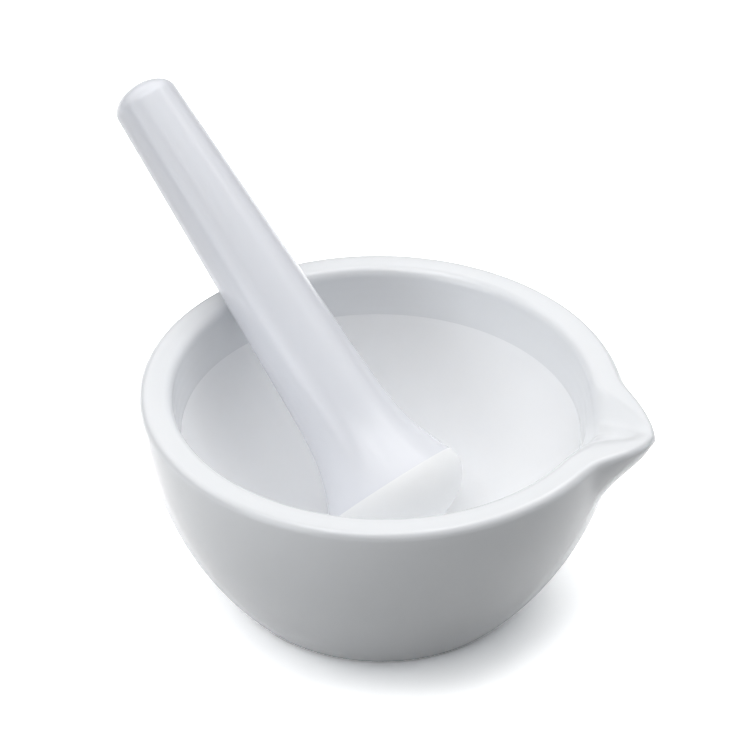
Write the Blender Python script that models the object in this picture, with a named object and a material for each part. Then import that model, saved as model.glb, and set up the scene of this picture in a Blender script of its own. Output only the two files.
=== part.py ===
"""Porcelain laboratory mortar with a pouring spout, and its pestle resting in the bowl.

The mortar stands on the origin with +Z up and its spout pointing along +X.
Both pieces are turned shapes: an outline of (radius, height) points is spun about the
piece's own axis.  The spout is then pulled out of the mortar's soft wall, as a potter
does, by moving the wall outwards near +X.
"""
import math

import bmesh
import bpy
from mathutils import Vector

# ---- mortar, metres ---------------------------------------------------------
RIM_RADIUS = 0.0750            # outside of the rim, away from the spout
MORTAR_HEIGHT = 0.0724
WALL_ARC_RADIUS = 0.1098       # the outer wall is one arc ...
WALL_ARC_CENTRE_Z = 0.0730     # ... whose centre is about level with the rim
FOOT_ROUNDING = 0.0050         # between the flat foot and the outer wall
RIM_OUTER_ROUNDING = 0.0026
RIM_INNER_ROUNDING = 0.0034
BOWL_RADIUS = 0.0650           # the grinding bowl is part of a sphere
BOWL_FLOOR_Z = 0.0099          # thickness of the mortar's bottom

# ---- spout ------------------------------------------------------------------
SPOUT_PULL = 0.0132            # how far the wall would be pulled at a sharp tip
SPOUT_WIDTH_PLUS_Y = 19.0      # degrees round the rim from the tip to the spout's root
SPOUT_WIDTH_MINUS_Y = 15.5     # the other side is a little steeper
SPOUT_TIP_SOFTENING = 2.2      # degrees over which the tip is rounded
SPOUT_ROOT_SOFTENING = 0.0011  # rounding where the spout leaves the round rim
SPOUT_LIP_DROP = 0.0020        # the tip pours a little below the rim
SPOUT_OUTER_REACH = 0.0250     # how far down the outer wall the pull is felt
SPOUT_CHANNEL_DEPTH = 0.0100   # and how far down inside the bowl
MID_WALL_RADIUS = 0.0700       # the rim is split here into its outer and inner side

# ---- pestle, metres along its own axis from the tip of the head -------------
PESTLE_LENGTH = 0.1700
HEAD_RADIUS = 0.0233
HEAD_HEIGHT = 0.0144           # from the tip to the head's widest circle
SHOULDER_HEIGHT = 0.0180       # where the head runs into the flare
SHAFT_RADIUS_AT_TIP = 0.01625  # the shaft's straight taper, extended to the tip
SHAFT_TAPER = 0.0335           # radius lost for each metre of length
FLARE_SIZE = 0.0100
FLARE_CENTRE = 0.0050
FLARE_LENGTH = 0.0209
END_ROUNDING = 0.0055

# ---- where the pestle rests -------------------------------------------------
PESTLE_TIP = Vector((0.0150, -0.0055, 0.0214))
PESTLE_DIRECTION = 151.2       # degrees from +X to the side that the handle leans to
PESTLE_SLOPE = 39.6            # degrees above the horizontal

# ---- smoothness -------------------------------------------------------------
MORTAR_STEPS = 96
PESTLE_STEPS = 48
SHARP_ANGLE = 35.0
MERGE_DISTANCE = 0.000001


def arc(centre, radius, start, end, count):
    """Points on an arc in the (radius, height) plane, angles in degrees."""
    points = []
    for index in range(count + 1):
        angle = math.radians(start + (end - start) * index / count)
        points.append((centre[0] + radius * math.cos(angle), centre[1] + radius * math.sin(angle)))
    return points


def angle_between(origin, target):
    return math.degrees(math.atan2(target[1] - origin[1], target[0] - origin[0]))


def mortar_outline():
    """Half section of the mortar, from the middle of the foot round to the bowl's floor."""
    wall_centre = (RIM_RADIUS - WALL_ARC_RADIUS, WALL_ARC_CENTRE_Z)
    bowl_centre = (0.0, BOWL_FLOOR_Z + BOWL_RADIUS)

    def inside_wall(rounding, height):
        reach = WALL_ARC_RADIUS - rounding
        drop = WALL_ARC_CENTRE_Z - height
        return (wall_centre[0] + math.sqrt(reach ** 2 - drop ** 2), height)

    foot_centre = inside_wall(FOOT_ROUNDING, FOOT_ROUNDING)
    outer_centre = inside_wall(RIM_OUTER_ROUNDING, MORTAR_HEIGHT - RIM_OUTER_ROUNDING)
    inner_height = MORTAR_HEIGHT - RIM_INNER_ROUNDING
    inner_reach = BOWL_RADIUS + RIM_INNER_ROUNDING
    inner_radius = math.sqrt(inner_reach ** 2 - (bowl_centre[1] - inner_height) ** 2)
    inner_centre = (inner_radius, inner_height)

    foot_angle = angle_between(wall_centre, foot_centre)
    rim_angle = angle_between(wall_centre, outer_centre)
    bowl_angle = angle_between(bowl_centre, inner_centre)

    outline = [(0.0, 0.0)]
    outline += arc(foot_centre, FOOT_ROUNDING, -90.0, foot_angle, 4)
    outline += arc(wall_centre, WALL_ARC_RADIUS, foot_angle, rim_angle, 12)[1:]
    outline += arc(outer_centre, RIM_OUTER_ROUNDING, rim_angle, 90.0, 4)[1:]
    outline += arc(inner_centre, RIM_INNER_ROUNDING, 90.0, 180.0 + bowl_angle, 5)
    outline += arc(bowl_centre, BOWL_RADIUS, bowl_angle, -90.0, 15)[1:-1]
    outline.append((0.0, BOWL_FLOOR_Z))
    return outline


def head_radius(along):
    """Radius of the egg-shaped grinding head at a distance from its tip."""
    share = (along - HEAD_HEIGHT) / HEAD_HEIGHT
    return HEAD_RADIUS * math.sqrt(max(0.0, 1.0 - share ** 2))


def shaft_radius(along):
    """Radius of the tapered shaft with the flare that widens it towards the head."""
    taper = SHAFT_RADIUS_AT_TIP - SHAFT_TAPER * along
    return taper + FLARE_SIZE * math.exp(-((along - FLARE_CENTRE) / FLARE_LENGTH) ** 2)


def pestle_outline():
    """Half section of the pestle, from the tip of the head to the handle's rounded end."""
    outline = [(0.0, 0.0)]
    head_points = 7
    for index in range(1, head_points + 1):
        along = HEAD_HEIGHT * (1.0 - math.cos(math.pi / 2 * index / head_points))
        outline.append((head_radius(along), along))
    outline.append((head_radius(SHOULDER_HEIGHT), SHOULDER_HEIGHT))

    end_start = PESTLE_LENGTH - END_ROUNDING
    flare_end = FLARE_CENTRE + 2.2 * FLARE_LENGTH
    flare_points = 8
    for index in range(1, flare_points + 1):
        along = SHOULDER_HEIGHT + (flare_end - SHOULDER_HEIGHT) * index / flare_points
        outline.append((shaft_radius(along), along))
    for share in (0.33, 0.67, 1.0):
        along = flare_end + (end_start - flare_end) * share
        outline.append((shaft_radius(along), along))

    end_points = 5
    for index in range(1, end_points):
        angle = math.pi / 2 * index / end_points
        radius = shaft_radius(end_start) * math.cos(angle)
        outline.append((radius, end_start + END_ROUNDING * math.sin(angle)))
    outline.append((0.0, PESTLE_LENGTH))
    return outline


def spun(outline, steps):
    """A closed bmesh from an outline that starts and ends on the Z axis."""
    mesh = bmesh.new()
    corners = [mesh.verts.new((radius, 0.0, height)) for radius, height in outline]
    edges = [mesh.edges.new(pair) for pair in zip(corners, corners[1:])]
    bmesh.ops.spin(mesh, geom=corners + edges, cent=(0, 0, 0), axis=(0, 0, 1),
                   angle=2 * math.pi, steps=steps, use_merge=True)
    bmesh.ops.remove_doubles(mesh, verts=mesh.verts, dist=MERGE_DISTANCE)
    bmesh.ops.recalc_face_normals(mesh, faces=mesh.faces)
    return mesh


def spout_pull(angle):
    """How far the rim is pulled out, at an angle in degrees from the spout's tip."""
    width = SPOUT_WIDTH_PLUS_Y if angle > 0 else SPOUT_WIDTH_MINUS_Y
    away = math.sqrt(angle ** 2 + SPOUT_TIP_SOFTENING ** 2)
    pull = SPOUT_PULL * (1.0 - away / width)
    softened = 0.5 * (pull + math.sqrt(pull ** 2 + 4 * SPOUT_ROOT_SOFTENING ** 2))
    fade = max(0.0, 1.0 - abs(angle) / 60.0)
    return softened * min(1.0, 2.0 * fade)


def smooth_step(share):
    share = min(1.0, max(0.0, share))
    return share * share * (3.0 - 2.0 * share)


def pull_spout(mesh):
    """Move the vertices of the wall near +X outwards, most at the rim, and drop the lip."""
    for vertex in mesh.verts:
        radius = math.hypot(vertex.co.x, vertex.co.y)
        if radius < MERGE_DISTANCE:
            continue
        angle = math.degrees(math.atan2(vertex.co.y, vertex.co.x))
        reach = SPOUT_OUTER_REACH if radius > MID_WALL_RADIUS else SPOUT_CHANNEL_DEPTH
        depth = MORTAR_HEIGHT - vertex.co.z
        share = smooth_step(1.0 - depth / reach)
        pull = spout_pull(angle)
        scale = (radius + pull * share) / radius
        vertex.co.x *= scale
        vertex.co.y *= scale
        vertex.co.z -= SPOUT_LIP_DROP * share * (pull / SPOUT_PULL) ** 2


def porcelain(name, colour, roughness):
    material = bpy.data.materials.new(name)
    material.use_nodes = True
    shader = material.node_tree.nodes["Principled BSDF"]
    shader.inputs["Base Color"].default_value = (*colour, 1.0)
    shader.inputs["Roughness"].default_value = roughness
    shader.inputs["Metallic"].default_value = 0.0
    return material


def add_piece(name, mesh, material):
    data = bpy.data.meshes.new(name)
    mesh.to_mesh(data)
    mesh.free()
    data.materials.append(material)
    data.shade_smooth()
    data.set_sharp_from_angle(angle=math.radians(SHARP_ANGLE))
    piece = bpy.data.objects.new(name, data)
    bpy.context.scene.collection.objects.link(piece)
    return piece


def make_mortar():
    mesh = spun(mortar_outline(), MORTAR_STEPS)
    pull_spout(mesh)
    return add_piece("mortar", mesh, porcelain("white_porcelain", (0.90, 0.91, 0.91), 0.16))


def make_pestle():
    mesh = spun(pestle_outline(), PESTLE_STEPS)
    pestle = add_piece("pestle", mesh, porcelain("pestle_porcelain", (0.86, 0.88, 0.91), 0.18))
    pestle.location = PESTLE_TIP
    pestle.rotation_euler = (0.0, math.radians(90.0 - PESTLE_SLOPE), math.radians(PESTLE_DIRECTION))
    return pestle


def main():
    for old in list(bpy.data.objects):
        bpy.data.objects.remove(old, do_unlink=True)
    make_mortar()
    make_pestle()


main()
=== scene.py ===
"""Looks of the porcelain mortar and pestle: fine meshes, glaze, studio light and camera.

Lengths are in metres and angles in degrees.  The mortar stands on the origin with its
spout along +X; the pestle leans in the bowl.
"""
import math

import bpy
import numpy as np
from mathutils import Matrix, Vector


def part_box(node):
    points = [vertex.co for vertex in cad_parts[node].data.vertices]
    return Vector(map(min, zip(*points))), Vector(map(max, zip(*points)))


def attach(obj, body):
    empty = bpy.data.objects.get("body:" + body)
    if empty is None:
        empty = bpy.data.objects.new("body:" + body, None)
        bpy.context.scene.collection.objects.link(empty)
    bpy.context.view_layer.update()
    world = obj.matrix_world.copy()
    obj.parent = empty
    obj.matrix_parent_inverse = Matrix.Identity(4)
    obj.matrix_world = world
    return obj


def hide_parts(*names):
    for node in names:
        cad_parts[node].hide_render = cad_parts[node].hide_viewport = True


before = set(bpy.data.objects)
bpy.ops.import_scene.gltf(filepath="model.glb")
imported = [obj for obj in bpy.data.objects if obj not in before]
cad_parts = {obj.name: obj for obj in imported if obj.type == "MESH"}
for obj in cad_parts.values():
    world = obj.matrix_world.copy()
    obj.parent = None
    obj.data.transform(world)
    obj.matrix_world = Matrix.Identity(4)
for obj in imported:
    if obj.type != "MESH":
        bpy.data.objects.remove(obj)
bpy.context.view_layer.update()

# ---- mortar: the CAD's outline, turned much finer -----------------------------
MORTAR_LOW, MORTAR_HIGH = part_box("mortar")
RIM_RADIUS = (MORTAR_HIGH[1] - MORTAR_LOW[1]) / 2
MORTAR_HEIGHT = MORTAR_HIGH[2]
WALL_ARC_RADIUS = 0.1098
WALL_ARC_CENTRE_Z = 0.0730
FOOT_ROUNDING = 0.0050
RIM_OUTER_ROUNDING = 0.0026
RIM_INNER_ROUNDING = 0.0034
RIM_CROWN = 0.00012            # the rim's top is very slightly domed
BOWL_RADIUS = 0.0650
BOWL_FLOOR_Z = 0.0099

# ---- glaze --------------------------------------------------------------------
GLAZE_LINE_Z = 0.0564          # the bowl is bare porcelain below this height
GLAZE_THICKNESS = 0.00006      # the glaze thins out at its edge
GLAZE_FOOT_Z = 0.0012          # and outside it stops just above the foot
BAND_RIDGE = 0.000008          # turning marks left in the glazed band of the bowl
BAND_RIDGE_PITCH = 0.0031
GLAZE_EDGE_STEEPNESS = 12.0    # it thins out over one part in this many of the band

# ---- spout: a little rounder at the tip than the CAD's, angles seen from above ----
SPOUT_PULL = 0.0143
SPOUT_WIDTH_PLUS_Y = 19.0
SPOUT_WIDTH_MINUS_Y = 15.5
SPOUT_TIP_SOFTENING = 3.4
SPOUT_ROOT_SOFTENING = 0.0011
SPOUT_LAST_ANGLE = 60.0        # the wall is round from here on
SPOUT_LIP_DROP = 0.0020
SPOUT_OUTER_REACH = 0.0250
SPOUT_INNER_REACH = 0.0100
SPOUT_INNER_SHARE = 0.30       # the bowl's own wall is pulled out less than the rim
SPOUT_INNER_RADIUS = 0.0655
SPOUT_OUTER_RADIUS = 0.0725
MID_WALL_RADIUS = 0.0700

# ---- pouring channel: two sloping faces pressed into the rim's top, seen from above --
CHANNEL_LEFT_EDGE = ((0.0650, 0.0190), (0.0795, 0.0095))
CHANNEL_RIGHT_EDGE = ((0.0840, -0.0022), (0.0654, -0.0100))
CHANNEL_LEFT_SLOPE = 0.62
CHANNEL_RIGHT_SLOPE = 0.27
CHANNEL_SOFTENING = 0.0003
CHANNEL_REACH = 0.0140         # how far down the bowl's wall the channel's foot is felt
CHANNEL_LIP = 0.0013           # the rim's outermost strip stays whole
CHANNEL_LIP_FADE = 0.0045      # and the channel gets shallower towards it

# ---- pestle, along its own axis from the tip of the head ----------------------
PESTLE_LENGTH = 0.1700
HEAD_RADIUS = 0.0233
HEAD_HEIGHT = 0.0144
SHOULDER_HEIGHT = 0.0180
SHAFT_RADIUS_AT_TIP = 0.01625
SHAFT_TAPER = 0.0335
FLARE_SIZE = 0.0100
FLARE_CENTRE = 0.0050
FLARE_LENGTH = 0.0209
END_ROUNDING = 0.0068          # a little rounder than the CAD's
PESTLE_TIP = Vector((0.0150, -0.0055, 0.0214))
PESTLE_DIRECTION = 151.2
PESTLE_SLOPE = 39.6

# ---- fineness: steps round each piece, and rings along each stretch of its outline --
MORTAR_STEPS = 384
FOOT_FLAT_RINGS = 13
FOOT_RINGS = 12
WALL_RINGS = 56
RIM_OUTER_RINGS = 14
RIM_TOP_RINGS = 8
RIM_INNER_RINGS = 16
BAND_RINGS = 30
BOWL_RINGS = 72
PESTLE_STEPS = 160
HEAD_RINGS = 30
SHOULDER_RINGS = 6
SHAFT_RINGS = 99
END_RINGS = 18

# ---- porcelain ----------------------------------------------------------------
MORTAR_GLAZE = (0.835, 0.85, 0.87)
MORTAR_BARE = (0.94, 0.95, 0.965)
PESTLE_GLAZE = (0.795, 0.81, 0.855)
PESTLE_BARE = (0.87, 0.88, 0.89)
MORTAR_GLOSS_ROUGHNESS = 0.14
PESTLE_GLOSS_ROUGHNESS = 0.24

# ---- floor: shows white to the camera and in reflections, but sends back little light
FLOOR_HALF_SIZE = 4.0
FLOOR_Z = -0.0002
FLOOR_BOUNCE = 0.25
FLOOR_SEEN = 2.25
FLOOR_MIRROR = 2.0
FLOOR_LIT_RADIUS = 0.25        # beyond this distance the floor turns plain white
FLOOR_WHITE_RADIUS = 0.60

# ---- lights -------------------------------------------------------------------
COOL = (0.88, 0.94, 1.0)
NEUTRAL = (1.0, 1.0, 1.0)
PANEL_SIZE = 0.7
PANEL_DISTANCE = 1.2
PANEL_PIVOT = Vector((0.0, 0.0, 0.03))

# A soft studio in groups of equal panels: name, elevation, degrees round from the camera
# (90 is the camera's right), watts of each panel, colour
PANEL_GROUPS = (
    ("overhead", 88.0, (0,), 3.5, NEUTRAL),
    ("high", 65.0, (135, 315), 3.5, NEUTRAL),
    ("ring", 42.0, (90, 135, 180, 225, 270), 1.5, NEUTRAL),
    ("side", 22.0, (315,), 2.5, NEUTRAL),
    ("low", 5.0, (90, 315), 2.5, COOL),
)

# ---- camera -------------------------------------------------------------------
CAMERA_AIM = Vector((-0.0020, -0.0005, 0.0761))
CAMERA_AZIMUTH = 16.15
CAMERA_ELEVATION = 35.47
CAMERA_DISTANCE = 0.9263
CAMERA_ROLL = 0.63
CAMERA_LENS = 144.0
CAMERA_SENSOR = 36.0
CAMERA_NEAREST = 0.05
CAMERA_FARTHEST = 20.0


def arc(centre, radius, start, end, count):
    """Points on an arc in the (radius, height) plane, angles in degrees."""
    angles = np.radians(np.linspace(start, end, count + 1))
    return [(centre[0] + radius * math.cos(a), centre[1] + radius * math.sin(a)) for a in angles]


def angle_between(origin, target):
    return math.degrees(math.atan2(target[1] - origin[1], target[0] - origin[0]))


def smooth_step(share):
    share = np.clip(share, 0.0, 1.0)
    return share * share * (3.0 - 2.0 * share)


# ---- mortar -------------------------------------------------------------------
def mortar_outline():
    """Half section from the middle of the foot round to the bowl's floor.

    Returns the points and, for each stretch between two points, True if it is bare.
    """
    wall_centre = (RIM_RADIUS - WALL_ARC_RADIUS, WALL_ARC_CENTRE_Z)
    bowl_centre = (0.0, BOWL_FLOOR_Z + BOWL_RADIUS)

    def inside_wall(rounding, height):
        reach = WALL_ARC_RADIUS - rounding
        drop = WALL_ARC_CENTRE_Z - height
        return (wall_centre[0] + math.sqrt(reach ** 2 - drop ** 2), height)

    foot_centre = inside_wall(FOOT_ROUNDING, FOOT_ROUNDING)
    outer_centre = inside_wall(RIM_OUTER_ROUNDING, MORTAR_HEIGHT - RIM_OUTER_ROUNDING)
    inner_height = MORTAR_HEIGHT - RIM_INNER_ROUNDING
    inner_reach = BOWL_RADIUS + RIM_INNER_ROUNDING
    inner_radius = math.sqrt(inner_reach ** 2 - (bowl_centre[1] - inner_height) ** 2)
    inner_centre = (inner_radius, inner_height)

    foot_angle = angle_between(wall_centre, foot_centre)
    rim_angle = angle_between(wall_centre, outer_centre)
    bowl_angle = angle_between(bowl_centre, inner_centre)
    line_angle = -math.degrees(math.asin((bowl_centre[1] - GLAZE_LINE_Z) / BOWL_RADIUS))

    foot_shares = np.linspace(0.0, 1.0, FOOT_FLAT_RINGS + 1)[:-1]
    foot_flat = [(foot_centre[0] * share, 0.0) for share in foot_shares]
    foot = arc(foot_centre, FOOT_ROUNDING, -90.0, foot_angle, FOOT_RINGS)
    wall = arc(wall_centre, WALL_ARC_RADIUS, foot_angle, rim_angle, WALL_RINGS)[1:]
    outer = arc(outer_centre, RIM_OUTER_ROUNDING, rim_angle, 90.0, RIM_OUTER_RINGS)[1:]
    top = []
    for share in np.linspace(0.0, 1.0, RIM_TOP_RINGS + 1)[1:-1]:
        radius = outer_centre[0] + (inner_centre[0] - outer_centre[0]) * share
        top.append((radius, MORTAR_HEIGHT - RIM_CROWN * (2.0 * share - 1.0) ** 2 + RIM_CROWN))
    inner = arc(inner_centre, RIM_INNER_ROUNDING, 90.0, 180.0 + bowl_angle, RIM_INNER_RINGS)
    band = arc(bowl_centre, BOWL_RADIUS, bowl_angle, line_angle, BAND_RINGS)[1:]
    bowl = arc(bowl_centre, BOWL_RADIUS, line_angle, -90.0, BOWL_RINGS)[1:]

    def raised(point, thickness):
        """The point moved off the bowl's surface, towards the bowl's centre."""
        scale = (BOWL_RADIUS - thickness) / BOWL_RADIUS
        return (point[0] * scale, bowl_centre[1] + (point[1] - bowl_centre[1]) * scale)

    glazed_band = []
    for index, point in enumerate(band):
        share = (index + 1) / len(band)
        turns = (point[1] - GLAZE_LINE_Z) / BAND_RIDGE_PITCH
        ridge = BAND_RIDGE * math.sin(2.0 * math.pi * turns)
        thickness = GLAZE_THICKNESS * float(smooth_step(2.0 * share)) + ridge
        fade = float(smooth_step((1.0 - share) * GLAZE_EDGE_STEEPNESS))
        glazed_band.append(raised(point, thickness * fade))

    outline = foot_flat + foot + wall + outer + top + inner + glazed_band + bowl
    bare = []
    for (_, low), (_, high) in zip(outline, outline[1:]):
        bare.append(max(low, high) <= GLAZE_FOOT_Z)
    line_index = len(outline) - len(bowl) - 1
    bare[line_index:] = [True] * (len(bare) - line_index)
    return outline, bare


def spout_pull(angle):
    """How far the rim is pulled out, at angles in degrees from the spout's tip."""
    width = np.where(angle > 0, SPOUT_WIDTH_PLUS_Y, SPOUT_WIDTH_MINUS_Y)
    away = np.sqrt(angle ** 2 + SPOUT_TIP_SOFTENING ** 2)
    pull = SPOUT_PULL * (1.0 - away / width)
    softened = 0.5 * (pull + np.sqrt(pull ** 2 + 4 * SPOUT_ROOT_SOFTENING ** 2))
    fade = np.maximum(0.0, 1.0 - np.abs(angle) / SPOUT_LAST_ANGLE)
    return softened * np.minimum(1.0, 2.0 * fade)


def right_of(edge, points):
    """Distance of the points to the right of a line, seen from above."""
    (x0, y0), (x1, y1) = edge
    length = math.hypot(x1 - x0, y1 - y0)
    return ((points[:, 0] - x0) * (y1 - y0) - (points[:, 1] - y0) * (x1 - x0)) / length


def channel_depth(points):
    """Depth of the V-shaped pouring channel below the rim's top."""
    left = CHANNEL_LEFT_SLOPE * right_of(CHANNEL_LEFT_EDGE, points)
    right = CHANNEL_RIGHT_SLOPE * right_of(CHANNEL_RIGHT_EDGE, points)
    lower = 0.5 * (left + right - np.sqrt((left - right) ** 2 + CHANNEL_SOFTENING ** 2))
    depth = 0.5 * (lower + np.sqrt(lower ** 2 + CHANNEL_SOFTENING ** 2))
    return np.where(points[:, 0] > 0.5 * RIM_RADIUS, depth, 0.0)


def pull_spout(points):
    """Pull the wall near +X outwards, most at the rim, and press in the pouring channel."""
    radius = np.hypot(points[:, 0], points[:, 1])
    angle = np.degrees(np.arctan2(points[:, 1], points[:, 0]))
    below = MORTAR_HEIGHT - points[:, 2]
    reach = np.where(radius > MID_WALL_RADIUS, SPOUT_OUTER_REACH, SPOUT_INNER_REACH)
    share = smooth_step(1.0 - below / reach)
    rim_width = SPOUT_OUTER_RADIUS - SPOUT_INNER_RADIUS
    outward = np.clip((radius - SPOUT_INNER_RADIUS) / rim_width, 0.0, 1.0)
    pull = spout_pull(angle)
    followed = SPOUT_INNER_SHARE + (1.0 - SPOUT_INNER_SHARE) * outward
    scale = 1.0 + pull * share * followed / np.maximum(radius, 1e-6)
    moved = points.copy()
    moved[:, 0] *= scale
    moved[:, 1] *= scale
    moved[:, 2] -= SPOUT_LIP_DROP * share * (pull / SPOUT_PULL) ** 2
    inside = smooth_step((RIM_RADIUS - radius - CHANNEL_LIP) / CHANNEL_LIP_FADE)
    moved[:, 2] -= channel_depth(moved) * smooth_step(1.0 - below / CHANNEL_REACH) * inside
    return moved


# ---- pestle -------------------------------------------------------------------
def head_radius(along):
    share = (along - HEAD_HEIGHT) / HEAD_HEIGHT
    return HEAD_RADIUS * math.sqrt(max(0.0, 1.0 - share ** 2))


def shaft_radius(along):
    taper = SHAFT_RADIUS_AT_TIP - SHAFT_TAPER * along
    return taper + FLARE_SIZE * math.exp(-((along - FLARE_CENTRE) / FLARE_LENGTH) ** 2)


def pestle_outline():
    """Half section from the tip of the head to the handle's rounded end, and what is bare."""
    outline = [(0.0, 0.0)]
    for index in range(1, HEAD_RINGS + 1):
        along = HEAD_HEIGHT * (1.0 - math.cos(math.pi / 2 * index / HEAD_RINGS))
        outline.append((head_radius(along), along))
    for share in np.linspace(0.0, 1.0, SHOULDER_RINGS + 1)[1:]:
        along = HEAD_HEIGHT + (SHOULDER_HEIGHT - HEAD_HEIGHT) * share
        outline.append((head_radius(along), along))
    bare_count = len(outline) - 1

    end_start = PESTLE_LENGTH - END_ROUNDING
    for share in np.linspace(0.0, 1.0, SHAFT_RINGS + 1)[1:]:
        along = SHOULDER_HEIGHT + (end_start - SHOULDER_HEIGHT) * share
        outline.append((shaft_radius(along), along))
    for index in range(1, END_RINGS):
        angle = math.pi / 2 * index / END_RINGS
        radius = shaft_radius(end_start) * math.cos(angle)
        outline.append((radius, end_start + END_ROUNDING * math.sin(angle)))
    outline.append((0.0, PESTLE_LENGTH))
    bare = [index < bare_count for index in range(len(outline) - 1)]
    return outline, bare


# ---- meshes -------------------------------------------------------------------
def turned(outline, bare, steps):
    """Vertices, faces and each face's material number of an outline spun about Z."""
    ring_angles = 2.0 * math.pi * np.arange(steps) / steps
    points = [(0.0, 0.0, outline[0][1])]
    for radius, height in outline[1:-1]:
        for angle in ring_angles:
            points.append((radius * math.cos(angle), radius * math.sin(angle), height))
    points.append((0.0, 0.0, outline[-1][1]))
    last = len(points) - 1
    rings = len(outline) - 2
    faces, slots = [], []
    for step in range(steps):
        beside = (step + 1) % steps
        faces.append((0, 1 + step, 1 + beside))
        slots.append(int(bare[0]))
        for ring in range(rings - 1):
            low = 1 + ring * steps
            high = low + steps
            faces.append((low + beside, low + step, high + step, high + beside))
            slots.append(int(bare[ring + 1]))
        top = 1 + (rings - 1) * steps
        faces.append((top + beside, top + step, last))
        slots.append(int(bare[-1]))
    return np.array(points), faces, slots


def add_piece(name, points, faces, slots, materials):
    data = bpy.data.meshes.new(name)
    data.from_pydata([tuple(p) for p in points], [], faces)
    for material in materials:
        data.materials.append(material)
    data.polygons.foreach_set("material_index", slots)
    data.polygons.foreach_set("use_smooth", [True] * len(faces))
    data.validate()
    data.update()
    piece = bpy.data.objects.new(name, data)
    bpy.context.scene.collection.objects.link(piece)
    return piece


# ---- materials ----------------------------------------------------------------
def porcelain(name):
    """A material with what glazed and bare porcelain share, and its mesh coordinates."""
    material = bpy.data.materials.new(name)
    material.use_nodes = True
    nodes = material.node_tree.nodes
    shader = nodes["Principled BSDF"]
    shader.inputs["Subsurface Weight"].default_value = 0.15
    shader.inputs["Subsurface Radius"].default_value = (1.0, 0.95, 0.9)
    shader.inputs["Subsurface Scale"].default_value = 0.0015
    shader.inputs["IOR"].default_value = 1.5
    place = nodes.new("ShaderNodeTexCoord").outputs["Object"]
    return material, nodes, material.node_tree.links, shader, place


def noise_node(nodes, links, place, scale, detail=2.0, roughness=0.5):
    node = nodes.new("ShaderNodeTexNoise")
    node.inputs["Scale"].default_value = scale
    node.inputs["Detail"].default_value = detail
    node.inputs["Roughness"].default_value = roughness
    links.new(place, node.inputs["Vector"])
    return node.outputs["Fac"]


def ranged(nodes, links, value, low, high, from_low=0.0, from_high=1.0):
    node = nodes.new("ShaderNodeMapRange")
    node.inputs["From Min"].default_value = from_low
    node.inputs["From Max"].default_value = from_high
    node.inputs["To Min"].default_value = low
    node.inputs["To Max"].default_value = high
    links.new(value, node.inputs["Value"])
    return node.outputs["Result"]


def colour_patches(nodes, links, shader, colour, darker, patches):
    """Base colour that drifts between the colour and a slightly darker one."""
    tint = nodes.new("ShaderNodeMix")
    tint.data_type = "RGBA"
    tint.inputs["A"].default_value = (*colour, 1.0)
    tint.inputs["B"].default_value = (*[c * darker for c in colour], 1.0)
    links.new(patches, tint.inputs["Factor"])
    links.new(tint.outputs["Result"], shader.inputs["Base Color"])


def relief(nodes, links, shader, height, strength, distance):
    bump = nodes.new("ShaderNodeBump")
    bump.inputs["Strength"].default_value = strength
    bump.inputs["Distance"].default_value = distance
    links.new(height, bump.inputs["Height"])
    links.new(bump.outputs["Normal"], shader.inputs["Normal"])


def glazed_porcelain(name, colour, roughness):
    """Clear, slightly wavy glaze over white porcelain."""
    material, nodes, links, shader, place = porcelain(name)
    patches = noise_node(nodes, links, place, 28.0, 3.0)
    colour_patches(nodes, links, shader, colour, 0.985, patches)

    uneven = noise_node(nodes, links, place, 45.0, 3.0)
    gloss = ranged(nodes, links, uneven, roughness - 0.02, roughness + 0.03)
    links.new(gloss, shader.inputs["Roughness"])

    wave = noise_node(nodes, links, place, 60.0, 1.0)
    peel = noise_node(nodes, links, place, 700.0, 2.0)
    height = nodes.new("ShaderNodeMath")
    height.operation = "MULTIPLY_ADD"
    links.new(peel, height.inputs[0])
    height.inputs[1].default_value = 0.05
    links.new(wave, height.inputs[2])
    relief(nodes, links, shader, height.outputs[0], 0.12, 0.0002)
    return material


def bare_porcelain(name, colour):
    """Unglazed, finely ground porcelain: matt, with a very fine grain."""
    material, nodes, links, shader, place = porcelain(name)
    patches = noise_node(nodes, links, place, 120.0, 4.0, 0.6)
    colour_patches(nodes, links, shader, colour, 0.975, patches)

    uneven = noise_node(nodes, links, place, 300.0, 3.0)
    links.new(ranged(nodes, links, uneven, 0.50, 0.64), shader.inputs["Roughness"])

    grain = noise_node(nodes, links, place, 2600.0, 3.0, 0.65)
    relief(nodes, links, shader, grain, 0.25, 0.0001)
    return material


def make_mortar():
    outline, bare = mortar_outline()
    points, faces, slots = turned(outline, bare, MORTAR_STEPS)
    glaze = glazed_porcelain("mortar_glaze", MORTAR_GLAZE, MORTAR_GLOSS_ROUGHNESS)
    biscuit = bare_porcelain("mortar_bare", MORTAR_BARE)
    mortar = add_piece("mortar_body", pull_spout(points), faces, slots, (glaze, biscuit))
    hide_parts("mortar")
    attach(mortar, "mortar")


def make_pestle():
    outline, bare = pestle_outline()
    points, faces, slots = turned(outline, bare, PESTLE_STEPS)
    glaze = glazed_porcelain("pestle_glaze", PESTLE_GLAZE, PESTLE_GLOSS_ROUGHNESS)
    biscuit = bare_porcelain("pestle_bare", PESTLE_BARE)
    turn = Matrix.Rotation(math.radians(PESTLE_DIRECTION), 3, "Z")
    lean = Matrix.Rotation(math.radians(90.0 - PESTLE_SLOPE), 3, "Y")
    points = points @ np.array(turn @ lean).T + np.array(PESTLE_TIP)
    pestle = add_piece("pestle_body", points, faces, slots, (glaze, biscuit))
    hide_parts("pestle")
    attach(pestle, "pestle")


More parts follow.
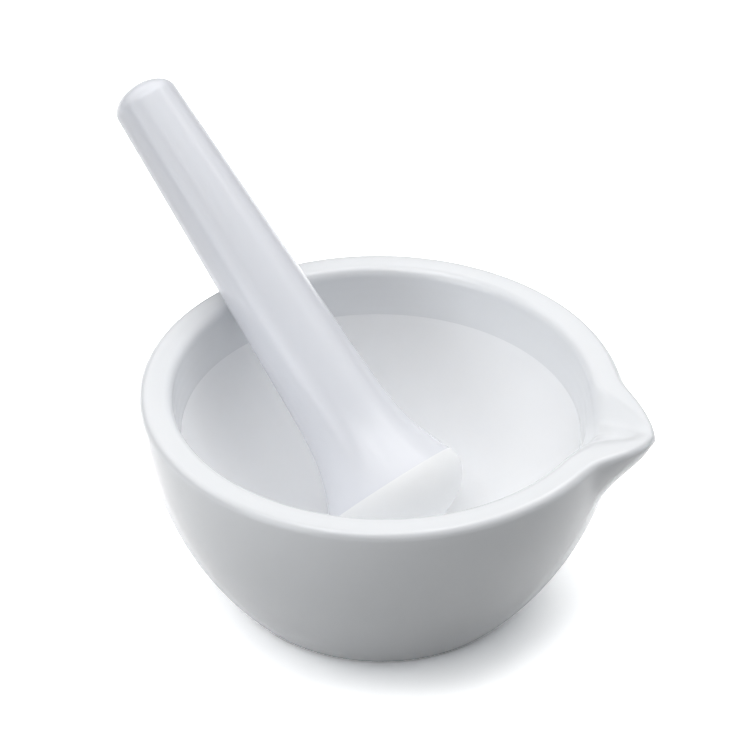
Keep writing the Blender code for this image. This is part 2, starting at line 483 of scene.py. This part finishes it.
# ---- stage --------------------------------------------------------------------
def floor_paint(nodes, links, ray):
    """Matt paint, brighter to the camera and to reflections than to the light it sends back."""
    paint = nodes.new("ShaderNodeBsdfDiffuse")
    shade = None
    for kind, value in (("Is Glossy Ray", FLOOR_MIRROR), ("Is Camera Ray", FLOOR_SEEN)):
        mix = nodes.new("ShaderNodeMix")
        mix.data_type = "RGBA"
        mix.inputs["A"].default_value = (*[FLOOR_BOUNCE] * 3, 1.0)
        mix.inputs["B"].default_value = (*[value] * 3, 1.0)
        if shade:
            links.new(shade, mix.inputs["A"])
        links.new(ray.outputs[kind], mix.inputs["Factor"])
        shade = mix.outputs["Result"]
    links.new(shade, paint.inputs["Color"])
    return paint


def floor_material():
    """The floor's paint near the object, turning plain white beyond the panels' light."""
    material = bpy.data.materials.new("floor_white")
    material.use_nodes = True
    nodes, links = material.node_tree.nodes, material.node_tree.links
    nodes.remove(nodes["Principled BSDF"])
    ray = nodes.new("ShaderNodeLightPath")
    paint = floor_paint(nodes, links, ray)

    place = nodes.new("ShaderNodeTexCoord").outputs["Object"]
    distance = nodes.new("ShaderNodeVectorMath")
    distance.operation = "LENGTH"
    links.new(place, distance.inputs[0])
    away = distance.outputs["Value"]
    far = ranged(nodes, links, away, 0.0, 1.0, FLOOR_LIT_RADIUS, FLOOR_WHITE_RADIUS)
    seen_far = nodes.new("ShaderNodeMath")
    seen_far.operation = "MULTIPLY"
    links.new(far, seen_far.inputs[0])
    links.new(ray.outputs["Is Camera Ray"], seen_far.inputs[1])
    white = nodes.new("ShaderNodeEmission")
    blend = nodes.new("ShaderNodeMixShader")
    links.new(seen_far.outputs[0], blend.inputs["Fac"])
    links.new(paint.outputs["BSDF"], blend.inputs[1])
    links.new(white.outputs["Emission"], blend.inputs[2])
    links.new(blend.outputs["Shader"], nodes["Material Output"].inputs["Surface"])
    return material


def make_floor():
    size = FLOOR_HALF_SIZE
    corners = [(-size, -size, 0.0), (size, -size, 0.0), (size, size, 0.0), (-size, size, 0.0)]
    data = bpy.data.meshes.new("floor")
    data.from_pydata(corners, [], [(0, 1, 2, 3)])
    data.materials.append(floor_material())
    floor = bpy.data.objects.new("floor", data)
    bpy.context.scene.collection.objects.link(floor)
    floor.location.z = FLOOR_Z


def direction(azimuth, elevation):
    """Unit vector from the object towards a viewer at that azimuth and elevation."""
    a, e = math.radians(azimuth), math.radians(elevation)
    return Vector((math.sin(a) * math.cos(e), -math.cos(a) * math.cos(e), math.sin(e)))


def add_panel(name, azimuth, elevation, power, colour):
    data = bpy.data.lights.new(name, "AREA")
    data.shape = "SQUARE"
    data.size = PANEL_SIZE
    data.energy = power
    data.color = colour
    light = bpy.data.objects.new(name, data)
    towards = direction(azimuth, elevation)
    light.location = PANEL_PIVOT + towards * PANEL_DISTANCE
    light.rotation_mode = "QUATERNION"
    light.rotation_quaternion = towards.to_track_quat("Z", "Y")
    bpy.context.scene.collection.objects.link(light)


def make_lights():
    for name, elevation, turns, power, colour in PANEL_GROUPS:
        for turn in turns:
            add_panel(f"{name}_{turn}", CAMERA_AZIMUTH + turn, elevation, power, colour)


def make_world():
    """White to the camera; it gives the object no light."""
    world = bpy.data.worlds.new("studio")
    world.use_nodes = True
    background = world.node_tree.nodes["Background"]
    background.inputs["Color"].default_value = (1.0, 1.0, 1.0, 1.0)
    ray = world.node_tree.nodes.new("ShaderNodeLightPath")
    world.node_tree.links.new(ray.outputs["Is Camera Ray"], background.inputs["Strength"])
    bpy.context.scene.world = world
    bpy.context.scene.view_settings.view_transform = "Standard"


def make_camera():
    data = bpy.data.cameras.new("camera")
    data.lens = CAMERA_LENS
    data.sensor_width = CAMERA_SENSOR
    data.clip_start = CAMERA_NEAREST
    data.clip_end = CAMERA_FARTHEST
    camera = bpy.data.objects.new("camera", data)
    back = direction(CAMERA_AZIMUTH, CAMERA_ELEVATION)
    camera.rotation_mode = "QUATERNION"
    roll = Matrix.Rotation(math.radians(CAMERA_ROLL), 3, "Z").to_quaternion()
    camera.rotation_quaternion = back.to_track_quat("Z", "Y") @ roll
    camera.location = CAMERA_AIM + back * CAMERA_DISTANCE
    bpy.context.scene.collection.objects.link(camera)
    bpy.context.scene.camera = camera


make_mortar()
make_pestle()
make_floor()
make_lights()
make_world()
make_camera()
